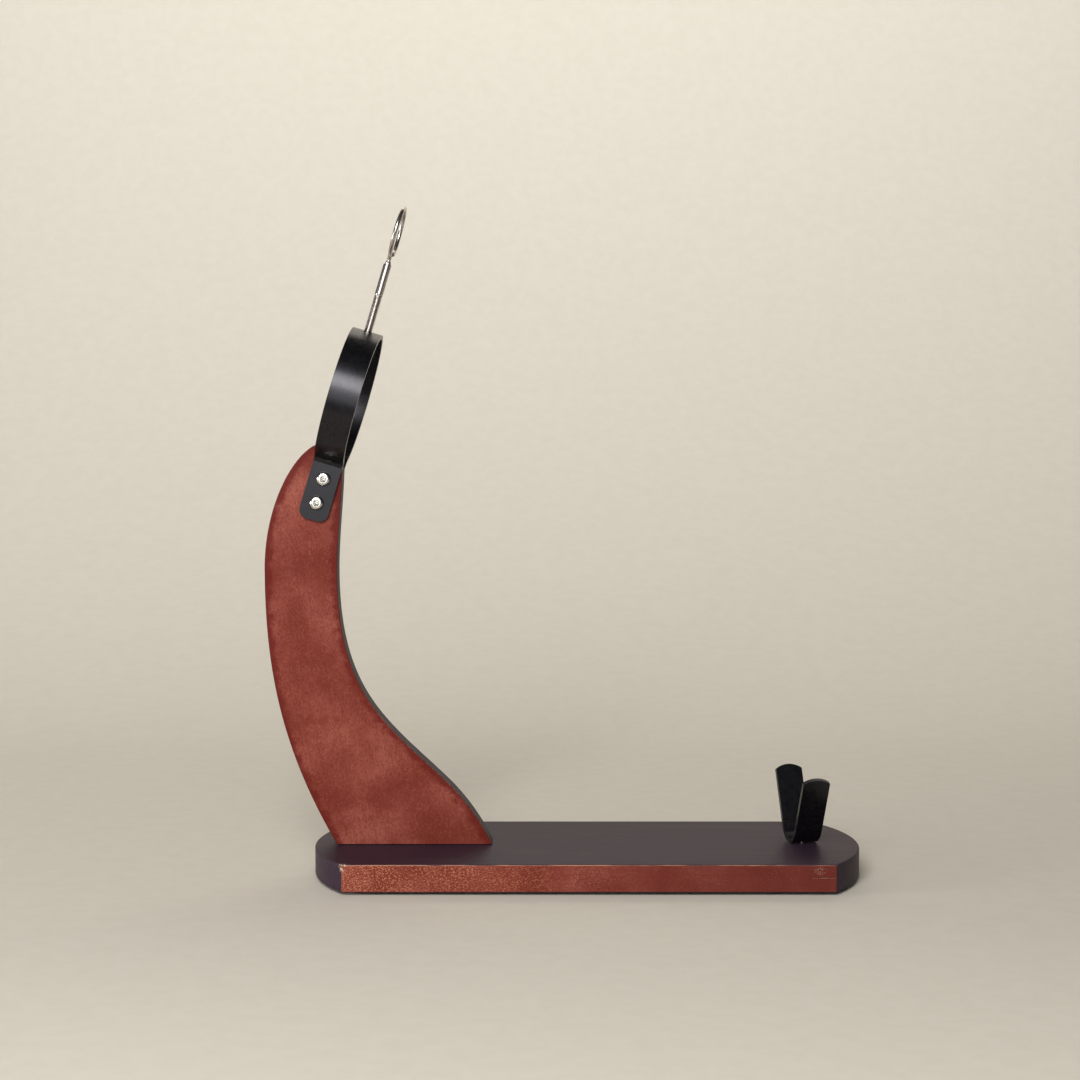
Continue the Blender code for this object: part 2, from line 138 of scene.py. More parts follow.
# Frames that the pieces are placed in
SCREW_JOINT = JOINTS["clamp_turn"]
LEAN = math.atan2(SCREW_JOINT["axis"][0], SCREW_JOINT["axis"][2])
HOOP_FRAME = Matrix.Translation(SCREW_JOINT["pos_m"]) @ Matrix.Rotation(LEAN, 4, "Y")
CRADLE_FRAME = Matrix.Translation(JOINTS["cradle_swivel"]["pos_m"]) @ Matrix.Rotation(CRADLE_YAW, 4, "Z")
FACING_FRONT = Matrix.Rotation(math.radians(90), 4, "X")
BOLT_FRAMES = {place: HOOP_FRAME @ Matrix.Translation((0, 0, z)) @ FACING_FRONT
               for place, z in STRAP_BOLT_Z.items()}
IN_PLACE = Matrix.Identity(4)


# ---------------------------------------------------------------- shapes

def arc(centre, radius, start, end, steps):
    """Points along an arc, angles in degrees, both ends included."""
    angles = [math.radians(start + (end - start) * i / steps) for i in range(steps + 1)]
    return [(centre[0] + radius * math.cos(a), centre[1] + radius * math.sin(a)) for a in angles]


def softened(corners, steps=4):
    """The line through (x, y, cut) corners, each cut back by that much and rounded."""
    line = []
    for before, here, after in zip(corners[-1:] + corners, corners, corners[1:] + corners[:1]):
        corner = Vector(here[:2])
        start = corner + (Vector(before[:2]) - corner).normalized() * here[2]
        end = corner + (Vector(after[:2]) - corner).normalized() * here[2]
        shares = [i / steps for i in range(steps + 1)] if here[2] else [0.0]
        line += [tuple(start.lerp(corner, t).lerp(corner.lerp(end, t), t)) for t in shares]
    return line


def curve_drop(radius, reach):
    """How far a round surface falls away at a distance from its top."""
    return radius - math.sqrt(radius**2 - reach**2)


def ring_of(shape, radius, height, steps):
    """A level ring of vertices round Z, or one vertex where the radius is nought."""
    if radius == 0:
        return [shape.verts.new((0, 0, height))]
    turns = [math.tau * i / steps for i in range(steps)]
    return [shape.verts.new((radius * math.cos(a), radius * math.sin(a), height)) for a in turns]


def bridge(shape, lower, upper):
    """Faces between two rings of vertices, each of which may be a single point."""
    for i in range(max(len(lower), len(upper))):
        corners = [lower[i % len(lower)], lower[(i + 1) % len(lower)],
                   upper[(i + 1) % len(upper)], upper[i % len(upper)]]
        shape.faces.new(list(dict.fromkeys(corners)))


def turned(profile, steps=64, closed=False):
    """A turned shape from (radius, height) points.  A closed profile makes a ring such as a washer."""
    shape = bmesh.new()
    rings = [ring_of(shape, radius, height, steps) for radius, height in profile]
    for lower, upper in zip(rings, rings[1:] + (rings[:1] if closed else [])):
        bridge(shape, lower, upper)
    return shape


def prism(radius, low, high, steps=64):
    return turned([(0, low), (radius, low), (radius, high), (0, high)], steps)


THREAD_STEPS = 28
# One pitch of an ISO thread: where each point lies along it, and its share of the groove's depth
THREAD_PROFILE = ((0.0, 1.0), (0.20, 1.0), (0.45, 0.0), (0.75, 0.0))
THREAD_DEPTH_PER_PITCH = 0.45


def threaded(radius, pitch, low, high, below=(), above=()):
    """A round bar with a right-hand thread from low to high that runs out at the top.

    The profiles below and above are (radius, height) points that carry the bar on, from the thread outward.
    """
    shape = bmesh.new()
    depth = pitch * THREAD_DEPTH_PER_PITCH
    points_per_turn = len(THREAD_PROFILE)
    turns = int((high - low) / pitch) - 1
    last = turns * points_per_turn
    columns = []
    for step in range(THREAD_STEPS):
        share = step / THREAD_STEPS
        column = []
        for index in range(last + 1):
            turn, part = divmod(index, points_per_turn)
            along, cut = THREAD_PROFILE[part]
            height = low + (turn + along + share) * pitch
            runout = min(1.0, (high - height) / (2 * pitch))
            chamfer = radius - depth + (height - low)
            reach = min(radius - depth * cut * runout, chamfer)
            angle = math.tau * share
            column.append(shape.verts.new((reach * math.cos(angle), reach * math.sin(angle), height)))
        columns.append(column)
    for left, right in zip(columns, columns[1:]):
        for i in range(last):
            shape.faces.new((left[i], right[i], right[i + 1], left[i + 1]))
    first, final = columns[0], columns[-1]
    for i in range(last - points_per_turn):
        j = i + points_per_turn
        shape.faces.new((final[i], first[j], first[j + 1], final[i + 1]))

    bottom = ring_of(shape, radius - depth, low - pitch / 4, THREAD_STEPS)
    top = ring_of(shape, radius, high, THREAD_STEPS)
    for i in range(THREAD_STEPS - 1):
        shape.faces.new((bottom[i], bottom[i + 1], columns[i + 1][0], columns[i][0]))
        shape.faces.new((columns[i][-1], columns[i + 1][-1], top[i + 1], top[i]))
    shape.faces.new([bottom[-1], bottom[0], *first[:points_per_turn + 1], final[0]])
    shape.faces.new([first[-1], top[0], top[-1], *reversed(final[-points_per_turn - 1:])])
    for start, profile in ((bottom, below), (top, above)):
        for reach, height in profile:
            following = ring_of(shape, reach, height, THREAD_STEPS)
            bridge(shape, start, following)
            start = following
    return shape


def wire(name, points, radius, closed=False, swell=None):
    """A round wire or weld bead through the points.  swell gives each point's own share of the radius."""
    curve = bpy.data.curves.new(name, "CURVE")
    curve.dimensions = "3D"
    curve.bevel_depth = radius
    curve.bevel_resolution = 6
    curve.use_fill_caps = not closed
    spline = curve.splines.new("POLY")
    spline.points.add(len(points) - 1)
    for index, (control, point) in enumerate(zip(spline.points, points)):
        control.co = (*point, 1)
        control.radius = swell[index] if swell else 1.0
    spline.use_cyclic_u = closed
    guide = in_scene(name, curve)
    mesh = bpy.data.meshes.new_from_object(guide.evaluated_get(bpy.context.evaluated_depsgraph_get()))
    bpy.data.objects.remove(guide)
    shape = bmesh.new()
    shape.from_mesh(mesh)
    bmesh.ops.remove_doubles(shape, verts=shape.verts, dist=0.000005)
    return shape


def in_scene(name, data):
    obj = bpy.data.objects.new(name, data)
    bpy.context.scene.collection.objects.link(obj)
    return obj


def loose(name, shape, at=IN_PLACE):
    """An object made from a shape, in the scene at its place."""
    bmesh.ops.recalc_face_normals(shape, faces=shape.faces)
    mesh = bpy.data.meshes.new(name)
    shape.to_mesh(mesh)
    shape.free()
    obj = in_scene(name, mesh)
    obj.matrix_world = at
    return obj


def settle(obj):
    """Turns what the modifiers make into the object's own mesh."""
    evaluated = obj.evaluated_get(bpy.context.evaluated_depsgraph_get())
    mesh = bpy.data.meshes.new_from_object(evaluated)
    obj.modifiers.clear()
    obj.data = mesh


def carve(obj, cutters, operation="DIFFERENCE"):
    """Cuts other objects out of a piece, or keeps only what it shares with them."""
    for cutter in cutters:
        boolean = obj.modifiers.new(cutter.name, "BOOLEAN")
        boolean.operation = operation
        boolean.solver = "EXACT"
        boolean.object = cutter
    settle(obj)
    for cutter in cutters:
        bpy.data.objects.remove(cutter)


BEVEL_ANGLE = math.radians(40)


def round_edges(obj, width, segments=3):
    bevel = obj.modifiers.new("Rounded edges", "BEVEL")
    bevel.width = width
    bevel.segments = segments
    bevel.limit_method = "ANGLE"
    bevel.angle_limit = BEVEL_ANGLE
    settle(obj)


def finished(obj, node, material, sharp=35, body=None):
    """A piece with its material and smooth shading, that rides on its body and stands for a CAD node."""
    obj.data.shade_smooth()
    obj.data.set_sharp_from_angle(angle=math.radians(sharp))
    weighted = obj.modifiers.new("Face weighted normals", "WEIGHTED_NORMAL")
    weighted.keep_sharp = True
    obj.data.materials.clear()
    obj.data.materials.append(material)
    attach(obj, body or BODY_OF[node])
    if node:
        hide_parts(node)


# ------------------------------------------------------------- materials

class Surface:
    """A material under construction.  Each method adds one node and returns its output socket."""

    def __init__(self, name, **settings):
        self.material = bpy.data.materials.new(name)
        self.material.use_nodes = True
        self.tree = self.material.node_tree
        self.shader = self.tree.nodes["Principled BSDF"]
        for socket, value in settings.items():
            self.shader.inputs[socket.replace("_", " ")].default_value = value
        place = self.tree.nodes.new("ShaderNodeTexCoord")
        self.position = place.outputs["Object"]
        self.facing = place.outputs["Normal"]

    def feed(self, node, inputs):
        for key, value in inputs.items():
            if isinstance(value, bpy.types.NodeSocket):
                self.tree.links.new(value, node.inputs[key])
            else:
                node.inputs[key].default_value = value

    def set(self, socket, value):
        self.feed(self.shader, {socket: value})

    def math(self, operation, first, second=0.0):
        node = self.tree.nodes.new("ShaderNodeMath")
        node.operation = operation
        self.feed(node, {0: first, 1: second})
        return node.outputs[0]

    def part(self, vector, axis):
        node = self.tree.nodes.new("ShaderNodeSeparateXYZ")
        self.feed(node, {0: vector})
        return node.outputs[axis]

    def distance(self, vector, point, stretch=(1, 1, 1)):
        """How far the vector is from a point, with each axis scaled."""
        moved = self.tree.nodes.new("ShaderNodeVectorMath")
        moved.operation = "SUBTRACT"
        self.feed(moved, {0: vector, 1: point})
        scaled = self.tree.nodes.new("ShaderNodeVectorMath")
        scaled.operation = "MULTIPLY"
        self.feed(scaled, {0: moved.outputs[0], 1: stretch})
        length = self.tree.nodes.new("ShaderNodeVectorMath")
        length.operation = "LENGTH"
        self.feed(length, {0: scaled.outputs[0]})
        return length.outputs["Value"]

    def stretched(self, vector, scale, rotation=(0, 0, 0)):
        node = self.tree.nodes.new("ShaderNodeMapping")
        self.feed(node, {"Vector": vector, "Scale": scale, "Rotation": rotation})
        return node.outputs[0]

    def noise(self, vector, scale, detail=3.0, roughness=0.5, distortion=0.0):
        node = self.tree.nodes.new("ShaderNodeTexNoise")
        self.feed(node, {"Vector": vector, "Scale": scale, "Detail": detail, "Roughness": roughness,
                         "Distortion": distortion})
        return node.outputs["Fac"]

    def span(self, value, low, high, to_low=0.0, to_high=1.0):
        """The value's place between low and high, eased and clamped, as to_low to to_high."""
        node = self.tree.nodes.new("ShaderNodeMapRange")
        node.interpolation_type = "SMOOTHSTEP"
        self.feed(node, {"Value": value, "From Min": low, "From Max": high, "To Min": to_low,
                         "To Max": to_high})
        return node.outputs[0]

    def blend(self, share, first, second):
        node = self.tree.nodes.new("ShaderNodeMix")
        node.data_type = "RGBA"
        colours = {6: first, 7: second}
        for key, colour in colours.items():
            if not isinstance(colour, bpy.types.NodeSocket):
                colours[key] = (*colour, 1.0)
        self.feed(node, {0: share, **colours})
        return node.outputs[2]

    def attribute(self, name):
        node = self.tree.nodes.new("ShaderNodeAttribute")
        node.attribute_name = name
        return node.outputs["Fac"]

    def bump(self, height, depth, strength):
        node = self.tree.nodes.new("ShaderNodeBump")
        self.feed(node, {"Height": height, "Distance": depth, "Strength": strength})
        return node.outputs[0]


RIM_ATTRIBUTE = "rim"
MAHOGANY = (0.236, 0.058, 0.040)
DEEP_MAHOGANY = (0.130, 0.019, 0.010)
RIM_STAIN_AND_SHADE = (0.100, 0.009, 0.004)
PALE_MAHOGANY = (0.300, 0.100, 0.068)
PAINTED_SHADE_MAHOGANY = (0.070, 0.012, 0.009)
GOLDEN_FLECK = (0.540, 0.230, 0.115)
DARK_STAIN_AND_SHEEN = (0.026, 0.015, 0.024)
BROWN_STAIN_AND_SHEEN = (0.040, 0.023, 0.034)
WORN_EDGE_AND_HIGHLIGHT = (0.400, 0.190, 0.110)
BARE_WOOD = (0.720, 0.560, 0.430)
BLACK_PAINT_LOW = (0.0022, 0.0020, 0.0024)
BLACK_PAINT_HIGH = (0.0042, 0.0038, 0.0044)
RUBBER_LOW = (0.010, 0.010, 0.010)
RUBBER_HIGH = (0.022, 0.021, 0.020)
BEECH_PALE = (0.66, 0.46, 0.28)
BEECH_GRAIN = (0.54, 0.34, 0.19)
BEECH_FLECK = (0.32, 0.17, 0.09)
PAPER_LOW = (0.600, 0.555, 0.475)
PAPER_HIGH = (0.620, 0.575, 0.495)


def stained_wood(name, grain_turn, left_flecks, right_flecks, worn_spots=()):
    """Mahogany stain on a plank's two wide faces, and a near-black stain on every other side, its purple-grey
    tint a painted sheen.

    grain_turn is the turn about Y from +X to the grain.  The flecks' strength goes from the base's left end
    to its right end, a fade that is partly painted shade.  A worn spot is a point, its reach, a stretch and a
    strength.
    """
    wood = Surface(name, Specular_IOR_Level=0.10, Specular_Tint=(0.90, 0.80, 1.0, 1.0))
    grain = wood.stretched(wood.position, (1, 1, 1), (0, -grain_turn, 0))
    long_grain = wood.stretched(grain, (0.06, 1, 1))
    blotches = wood.noise(grain, 26, 4, 0.55, 0.3)
    streaks = wood.noise(long_grain, 300, 3, 0.6)
    pores = wood.noise(wood.stretched(grain, (0.10, 1, 1)), 1900, 2, 0.6)
    speckle = wood.noise(wood.stretched(grain, (0.6, 1, 1)), 1150, 3, 0.75)
    along = wood.span(wood.part(wood.position, 0), BASE_LOW.x, BASE_HIGH.x)

    stain = wood.blend(wood.span(blotches, 0.25, 0.75), DEEP_MAHOGANY, MAHOGANY)
    stain = wood.blend(wood.span(blotches, 0.50, 0.80, 0.0, 0.4), stain, PALE_MAHOGANY)
    stain = wood.blend(wood.span(streaks, 0.45, 0.70, 0.0, 0.30), stain, DEEP_MAHOGANY)
    # Painted shade: the stain darkens towards the base's right end
    stain = wood.blend(wood.span(along, 0.05, 1.0, 0.0, 0.68), stain, PAINTED_SHADE_MAHOGANY)
    patches = wood.span(wood.noise(grain, 70, 3, 0.6), 0.35, 0.62, 0.45, 1.0)
    # The flecks fade towards the right end, partly as painted shade
    strength = wood.math("MULTIPLY", wood.span(along, 0.0, 0.65, left_flecks, right_flecks), patches)
    flecks = wood.math("MULTIPLY", wood.span(speckle, 0.50, 0.66), strength)
    stain = wood.blend(flecks, stain, GOLDEN_FLECK)
    stain = wood.blend(wood.span(speckle, 0.50, 0.34, 0.0, 0.75), stain, DEEP_MAHOGANY)
    stain = wood.blend(wood.span(pores, 0.55, 0.68, 0.0, 0.55), stain, DEEP_MAHOGANY)
    # A ragged band along the upright's outline turns deep red: partly deeper stain at the edges, partly
    # painted shade where the face's sheen falls off
    ragged = wood.math("MULTIPLY", wood.noise(wood.position, 120, 4, 0.7), 1.3)
    rim = wood.math("ADD", wood.attribute(RIM_ATTRIBUTE), ragged)
    stain = wood.blend(wood.span(rim, 1.02, 1.50, 0.0, 0.85), stain, RIM_STAIN_AND_SHADE)

    # Every side but the two wide faces gets the near-black stain, tinted purple-grey as painted sheen
    side_share = wood.math("ABSOLUTE", wood.part(wood.facing, 1))
    on_face = wood.span(side_share, 0.80, 0.93)
    dark = wood.blend(wood.span(streaks, 0.35, 0.70), DARK_STAIN_AND_SHEEN, BROWN_STAIN_AND_SHEEN)
    colour = wood.blend(on_face, dark, stain)

    # The up-facing edge rounding is lightened in patches: partly real edge wear, partly a painted highlight
    on_edge = wood.math("MULTIPLY", wood.span(side_share, 0.55, 0.74), wood.span(side_share, 0.98, 0.86))
    facing_up = wood.span(wood.part(wood.facing, 2), 0.15, 0.40)
    wear_and_highlight = wood.math("MULTIPLY", on_edge, wood.span(wood.noise(long_grain, 900, 2), 0.40, 0.60, 0.10, 0.9))
    colour = wood.blend(wood.math("MULTIPLY", wear_and_highlight, facing_up), colour, WORN_EDGE_AND_HIGHLIGHT)
    for point, reach, stretch, strength in worn_spots:
        near = wood.span(wood.distance(wood.position, point, stretch), reach, reach * 0.35)
        specks = wood.span(wood.noise(wood.position, 1400, 2), 0.54, 0.62, 0.0, strength)
        colour = wood.blend(wood.math("MULTIPLY", near, specks), colour, BARE_WOOD)
    wood.set("Base Color", colour)

    wood.set("Roughness", wood.span(streaks, 0.30, 0.70, 0.44, 0.50))
    relief = wood.math("ADD", wood.math("MULTIPLY", pores, -0.6), wood.math("MULTIPLY", speckle, 0.5))
    wood.set("Normal", wood.bump(relief, 0.00006, 0.6))
    return wood.material


def black_paint():
    paint = Surface("black_satin_paint", Specular_IOR_Level=0.32, Specular_Tint=(0.95, 0.92, 1.0, 1.0),
                    Coat_Weight=0.10, Coat_Roughness=0.20)
    mottle = paint.noise(paint.position, 260, 3)
    peel = paint.noise(paint.position, 2200, 2, 0.4)
    rub = paint.noise(paint.stretched(paint.position, (1, 0.12, 0.12)), 1500, 2)
    paint.set("Base Color", paint.blend(paint.span(mottle, 0.35, 0.70), BLACK_PAINT_LOW, BLACK_PAINT_HIGH))
    roughness = paint.math("ADD", paint.span(mottle, 0.3, 0.7, 0.27, 0.30),
                           paint.span(rub, 0.5, 0.75, 0.0, 0.03))
    paint.set("Roughness", roughness)
    paint.set("Normal", paint.bump(peel, 0.00002, 0.3))
    return paint.material


def bright_metal(name, bright, dull, smooth, rough, streak, tarnish_scale):
    """Bare or plated steel.  streak stretches the fine brushing along the piece's own axes."""
    metal = Surface(name, Metallic=1.0)
    brushing = metal.noise(metal.stretched(metal.position, streak), 3200, 2, 0.6)
    tarnish = metal.noise(metal.position, tarnish_scale, 2, 0.5)
    colour = metal.blend(metal.span(tarnish, 0.45, 0.75), bright, dull)
    colour = metal.blend(metal.span(brushing, 0.50, 0.80, 0.0, 0.25), colour, dull)
    metal.set("Base Color", colour)
    metal.set("Roughness", metal.math("ADD", metal.span(tarnish, 0.35, 0.70, smooth, rough),
                                      metal.span(brushing, 0.4, 0.7, 0.0, 0.03)))
    metal.set("Normal", metal.bump(brushing, 0.000004, 0.25))
    return metal.material


def dark_rubber():
    rubber = Surface("black_rubber", Specular_IOR_Level=0.35)
    grain = rubber.noise(rubber.position, 1800, 3)
    rubber.set("Base Color", rubber.blend(rubber.span(grain, 0.3, 0.7), RUBBER_LOW, RUBBER_HIGH))
    rubber.set("Roughness", rubber.span(grain, 0.3, 0.7, 0.68, 0.85))
    rubber.set("Normal", rubber.bump(grain, 0.00004, 0.5))
    return rubber.material


def plain_beech():
    beech = Surface("plain_beech")
    grain = beech.noise(beech.stretched(beech.position, (1, 1, 0.08)), 1500, 3, 0.6)
    flecks = beech.noise(beech.stretched(beech.position, (1, 1, 0.3)), 3000, 2)
    colour = beech.blend(beech.span(grain, 0.35, 0.65), BEECH_PALE, BEECH_GRAIN)
    beech.set("Base Color", beech.blend(beech.span(flecks, 0.62, 0.72, 0.0, 0.6), colour, BEECH_FLECK))
    beech.set("Roughness", beech.span(grain, 0.3, 0.7, 0.5, 0.65))
    beech.set("Normal", beech.bump(grain, 0.00005, 0.5))
    return beech.material


FRONT_Y = -BASE_WIDTH / 2
LEFT_CORNER = (BASE_CENTRE_X - BASE_CORNER_X, FRONT_Y, BASE_TOP)
GOUGE = (BASE_CENTRE_X + BASE_CORNER_X - 0.012, FRONT_Y, BASE_TOP - 0.0045)
BASE_WOOD = stained_wood("base_mahogany_stain", 0.0, 1.0, 0.10,
                         [(LEFT_CORNER, 0.0050, (1, 1, 0.7), 1.0), (GOUGE, 0.0060, (1, 1, 1.6), 0.25)])
UPRIGHT_WOOD = stained_wood("upright_mahogany_stain", math.radians(78), 0.14, 0.08)
BLACK_PAINT = black_paint()
FINE_BRUSHING = (1, 1, 0.2)
ZINC = bright_metal("bright_zinc_plate", (0.74, 0.73, 0.69), (0.55, 0.53, 0.50), 0.20, 0.26, (1, 1, 1), 300)
TURNED_STEEL = bright_metal("bright_turned_steel", (0.62, 0.57, 0.54), (0.42, 0.36, 0.33), 0.20, 0.26,
                            FINE_BRUSHING, 260)
RING_STEEL = bright_metal("bright_wire_steel", (0.56, 0.51, 0.48), (0.36, 0.31, 0.28), 0.20, 0.26,
                          FINE_BRUSHING, 260)
RUBBER = dark_rubber()
BEECH = plain_beech()


# ----------------------------------------------------------------- planks

def plank(name, outline, thickness, at):
    """A flat plank from its outline of (x, y) points, centred on its own XY plane."""
    shape = bmesh.new()
    corners = [shape.verts.new((x, y, -thickness / 2)) for x, y in outline]
    made = bmesh.ops.extrude_face_region(shape, geom=[shape.faces.new(corners)])
    raised = [part for part in made["geom"] if isinstance(part, bmesh.types.BMVert)]
    bmesh.ops.translate(shape, verts=raised, vec=(0, 0, thickness))
    return loose(name, shape, at)


def cut_grid(obj, spacing):
    """Cuts a square grid into a plank, so that no face runs far."""
    shape = bmesh.new()
    shape.from_mesh(obj.data)
    for axis in (0, 1):
        low = min(vert.co[axis] for vert in shape.verts)
        high = max(vert.co[axis] for vert in shape.verts)
        across = Vector((axis == 0, axis == 1, 0))
        for step in range(1, int((high - low) / spacing) + 1):
            parts = shape.verts[:] + shape.edges[:] + shape.faces[:]
            where = across * (low + step * spacing)
            bmesh.ops.bisect_plane(shape, geom=parts, plane_co=where, plane_no=across, dist=0.00001)
    shape.to_mesh(obj.data)
    shape.free()


def in_row_frame(obj):
    """Moves a piece's place into its mesh, so that its material reads the row's own coordinates."""
    obj.data.transform(obj.matrix_world)
    obj.matrix_world = IN_PLACE


CUTTER_STEPS = 40
CUT_PAST = 0.001
WOOD_SCREW_POINT = 0.008


def wood_screw_hole(name, x):
    """The countersunk hole from below for one of the upright's screws, wide enough for its gap."""
    head, shank = WOOD_SCREW_HEAD_RADIUS + GAP, WOOD_SCREW_RADIUS + GAP
    profile = [(0, -CUT_PAST), (head, -CUT_PAST), (head, WOOD_SCREW_HEAD_RIM), (shank, WOOD_SCREW_HEAD_DEPTH),
               (shank, WOOD_SCREW_LENGTH - WOOD_SCREW_POINT), (0, WOOD_SCREW_LENGTH + GAP)]
    return loose(name, turned(profile, 48), Matrix.Translation((BASE_CENTRE_X + x, 0, BASE_BOTTOM + GAP)))


def m6_bore(name, at, low, high):
    """A cutter for a bolt's, screw's or stud's bore, along its own frame's Z."""
    return loose(name, prism(M6_BORE_RADIUS, low, high, CUTTER_STEPS), at)


def dowel_hole(name, x, middle):
    reach = DOWEL_HALF_LENGTH + GAP
    at = Matrix.Translation((BASE_CENTRE_X + x, 0, middle))
    return loose(name, prism(DOWEL_RADIUS + GAP, -reach, reach, CUTTER_STEPS), at)


def chip(name, centre, reach, stretch=(1, 1, 1)):
    """A rough-sided lump that bites a chip out of a plank."""
    shape = bmesh.new()
    bmesh.ops.create_icosphere(shape, subdivisions=3, radius=1.0)
    for vert in shape.verts:
        direction = vert.co.normalized()
        swell = 1 + 0.45 * noise.noise(direction * 1.7 + Vector(centre) * 900)
        vert.co = Vector(a * b for a, b in zip(direction * reach * swell, stretch))
    return loose(name, shape, Matrix.Translation(centre))


# Dents in the front face near its right end: the way along X and Z from the gouge's middle, and the size
FRONT_DENTS = ((-0.0062, 0.0026, 0.0007), (-0.0035, 0.0014, 0.0009), (-0.0010, 0.0028, 0.0006),
               (0.0012, 0.0006, 0.0008), (0.0040, 0.0022, 0.0005))
CORNER_CHIP_REACH = 0.0013
GROOVE_REACH = (0.0105, 0.00065, 0.00050)
GROOVE_DROP = 0.0049
BASE_GRID = 0.0093


def base_board():
    half_width = BASE_WIDTH / 2
    end_radius = (half_width**2 + BASE_END_BOW**2) / (2 * BASE_END_BOW)
    end_angle = math.degrees(math.asin(half_width / end_radius))
    right = arc((BASE_LENGTH / 2 - end_radius, 0), end_radius, -end_angle, end_angle, 56)
    left = [(-x, -y) for x, y in right]
    middle = Matrix.Translation((BASE_CENTRE_X, 0, BASE_BOTTOM + BASE_THICKNESS / 2))
    board = plank("base_board_wood", right + left, BASE_THICKNESS, middle)
    round_edges(board, BASE_EDGE_ROUND, 4)
    cut_grid(board, BASE_GRID)

    cutters = [wood_screw_hole(f"base_screw_cut_{i}", x) for i, x in enumerate(UPRIGHT_SCREW_X)]
    cutters += [dowel_hole(f"base_dowel_cut_{i}", x, BASE_TOP) for i, x in enumerate(UPRIGHT_DOWEL_X)]
    stud = Matrix.Translation(CRADLE_FRAME.translation)
    below = -BASE_THICKNESS - 0.01
    cutters.append(m6_bore("stud_cut", stud, below, 0.01))
    pocket_roof = BASE_BOTTOM + NUT_POCKET_DEPTH - CRADLE_FRAME.translation.z
    cutters.append(loose("pocket_cut", prism(NUT_POCKET_RADIUS, below, pocket_roof), stud))
    cutters.append(chip("corner_chip", LEFT_CORNER, CORNER_CHIP_REACH, (0.8, 0.7, 1.6)))
    for i, (along, up, reach) in enumerate(FRONT_DENTS):
        dent = Vector(GOUGE) + Vector((along, 0, up))
        cutters.append(chip(f"front_dent_{i}", dent, reach, (1.3, 0.5, 0.8)))
    groove = Vector(GOUGE) + Vector((0.0025, 0, -GROOVE_DROP))
    cutters.append(chip("front_groove", groove, 1.0, GROOVE_REACH))
    carve(board, cutters)
    in_row_frame(board)
    finished(board, "base_board", BASE_WOOD, 30)


# Knots of the upright's outline, anticlockwise from the toe of its foot: x and height from the middle of
# the base's top, then the heading and handle length going in, and the heading and handle length going out.
UPRIGHT_KNOTS = (
    (-0.0692, 0.0000, 0, 0, 116, 0.0310),
    (-0.1032, 0.0470, 136, 0.0050, 136, 0.0600),
    (-0.1814, 0.1995, 90, 0.0900, 90, 0.0250),
    (-0.1772, 0.2749, 88, 0.0250, 143, 0.0060),
    (-0.1973, 0.2915, 146, 0.0060, 208, 0.0200),
    (-0.2340, 0.2010, 270, 0.0440, 270, 0.0690),
    (-0.1827, 0.0000, 300, 0.0830, 0, 0),
)
UPRIGHT_STEPS = 40
UPRIGHT_GRID = 0.003
RIM_WIDTH = 0.0110


def heading_vector(degrees, length):
    return Vector((length * math.cos(math.radians(degrees)), length * math.sin(math.radians(degrees))))


def upright_outline():
    """Bezier stretches from knot to knot, closed by the straight foot."""
    points = []
    for knot, following in zip(UPRIGHT_KNOTS, UPRIGHT_KNOTS[1:]):
        start, end = Vector(knot[:2]), Vector(following[:2])
        leave = start + heading_vector(*knot[4:6])
        arrive = end - heading_vector(*following[2:4])
        points += interpolate_bezier(start, leave, arrive, end, UPRIGHT_STEPS)[:-1]
    return [tuple(point) for point in points] + [UPRIGHT_KNOTS[-1][:2]]


def mark_rim(obj, outline):
    """Stores on each vertex of an upright plank how close it is to the outline, 0 to 1."""
    rim = obj.data.attributes.new(RIM_ATTRIBUTE, "FLOAT", "POINT")
    line = [Vector(point) for point in outline]
    for vert, value in zip(obj.data.vertices, rim.data):
        nearest = min((vert.co.xy - point).length_squared for point in line)
        value.value = max(0.0, 1 - math.sqrt(nearest) / RIM_WIDTH)


def upright():
    at = Matrix.Translation((BASE_CENTRE_X, 0, PLANK_BOTTOM)) @ FACING_FRONT
    outline = upright_outline()
    board = plank("upright_wood", outline, PLANK_THICKNESS, at)
    round_edges(board, UPRIGHT_EDGE_ROUND, 4)
    cutters = [wood_screw_hole(f"upright_screw_cut_{i}", x) for i, x in enumerate(UPRIGHT_SCREW_X)]
    cutters += [dowel_hole(f"upright_dowel_cut_{i}", x, PLANK_BOTTOM)
                for i, x in enumerate(UPRIGHT_DOWEL_X)]
    cutters += [m6_bore(f"bolt_cut_{place}", at, -PLANK_THICKNESS, PLANK_THICKNESS)
                for place, at in BOLT_FRAMES.items()]
    carve(board, cutters)
    cut_grid(board, UPRIGHT_GRID)
    mark_rim(board, outline)
    in_row_frame(board)
    finished(board, "upright", UPRIGHT_WOOD, 30)


# Length, width and depth of one bar of the cross, and its far end's share of the first two
RECESS_SIZE = (0.0052, 0.0011, 0.0032)
RECESS_TAPER = 0.55


def recess_blade(name, at, turn):
    """One bar of the cross that a screwdriver fits, as a cutter that tapers away from the head's face."""
    length, width, depth = RECESS_SIZE
    shape = bmesh.new()
    made = bmesh.ops.create_cube(shape, size=1.0)
    for vert in made["verts"]:
        taper = RECESS_TAPER if vert.co.z > 0 else 1.0
        vert.co = (vert.co.x * length * taper, vert.co.y * width * taper, vert.co.z * depth)
    return loose(name, shape, at @ Matrix.Rotation(math.radians(turn), 4, "Z"))


WOOD_SCREW_PITCH = 0.0022
WOOD_SCREW_SHANK = 0.020
WOOD_SCREW_THREAD_START = 0.006
# Shares of the thread's root radius and heights, from where the thread begins to the point
WOOD_SCREW_TIP = ((0.80, 0.004), (0.35, 0.001), (0.0, 0.0))


